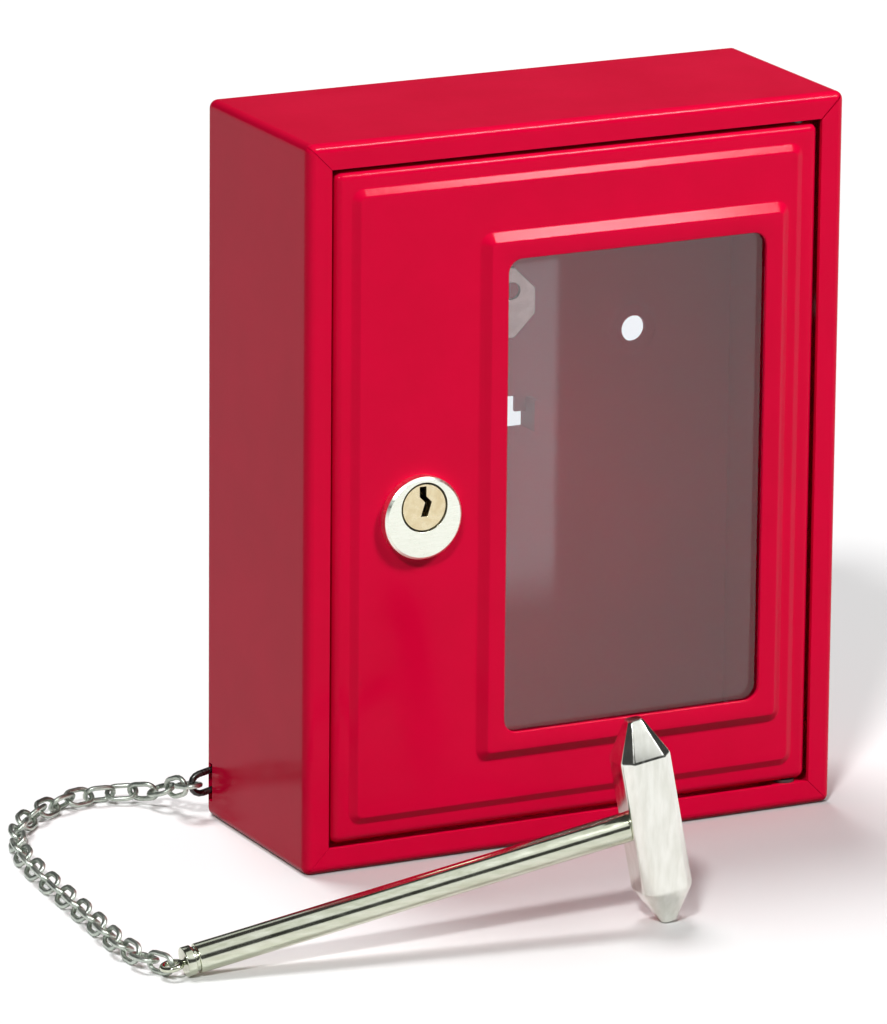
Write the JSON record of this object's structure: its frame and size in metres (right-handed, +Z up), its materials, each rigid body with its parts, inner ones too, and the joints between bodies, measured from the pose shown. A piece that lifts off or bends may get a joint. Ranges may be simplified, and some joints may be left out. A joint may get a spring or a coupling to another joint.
{
  "type": "break glass key box",
  "caption": "Small wall-mounted steel key box with a glazed, lockable hinged door and a break-glass hammer on a chain.",
  "frame": {"origin": "centre of the case's underside, where it stands", "axes": "+Z up, +Y towards the wall behind the box, +X to the right when facing the door"},
  "size_m": [0.1759, 0.1248, 0.15],
  "materials": {
    "red_enamel": "gloss baked enamel on sheet steel",
    "red_bracket": "gloss baked enamel",
    "zinc_steel": "bright zinc plate, satin",
    "chain_steel": "nickel plated steel wire",
    "window_glass": "clear flat glass",
    "lock_nickel": "satin nickel",
    "lock_brass": "machined brass",
    "spring_steel": "bright spring wire",
    "hammer_nickel": "polished nickel plate"
  },
  "bodies": {
    "case": {"case_shell": "red_enamel", "strike_plate": "red_bracket", "hinge_bracket_upper": "red_bracket", "hinge_bracket_lower": "red_bracket", "hinge_pin_upper": "zinc_steel", "hinge_pin_lower": "zinc_steel", "hinge_washer": "zinc_steel", "chain_stud": "zinc_steel", "chain_end_link": "chain_steel", "chain_links": "chain_steel"},
    "door": {"door_panel": "red_enamel", "glass_pane": "window_glass", "pane_channel_right": "zinc_steel", "pane_channel_bottom": "zinc_steel", "pane_clip": "zinc_steel", "clip_stud": "zinc_steel", "clip_nut": "zinc_steel", "lock_body": "lock_nickel", "lock_washer": "zinc_steel", "lock_nut": "zinc_steel", "driver_pins": "lock_brass", "pin_springs": "spring_steel", "chamber_strip": "lock_nickel"},
    "plug": {"lock_plug": "lock_brass", "key_pins": "lock_brass", "lock_cam": "zinc_steel", "cam_washer": "zinc_steel", "cam_screw": "zinc_steel"},
    "hammer": {"hammer_handle": "hammer_nickel", "hammer_head": "hammer_nickel", "hammer_eye": "hammer_nickel"}
  },
  "joints": [
    {"name": "door_hinge", "type": "hinge", "parent": "case", "child": "door", "pos_m": [0.0504, -0.0207, 0.075], "axis": [0, 0, 1], "range_deg": [0, 95]},
    {"name": "lock_turn", "type": "hinge", "parent": "door", "child": "plug", "pos_m": [-0.0356, -0.015, 0.0749], "axis": [0, 1, 0], "range_deg": [0, 90]},
    {"name": "hammer_swing", "type": "hinge", "parent": "case", "child": "hammer", "pos_m": [-0.11035, -0.06928, 0], "axis": [0, 0, 1], "range_deg": [-72, 0]}
  ],
  "couplings": [
    {"joint": "hammer_swing", "follows": "door_hinge", "ratio": -0.75}
  ]
}
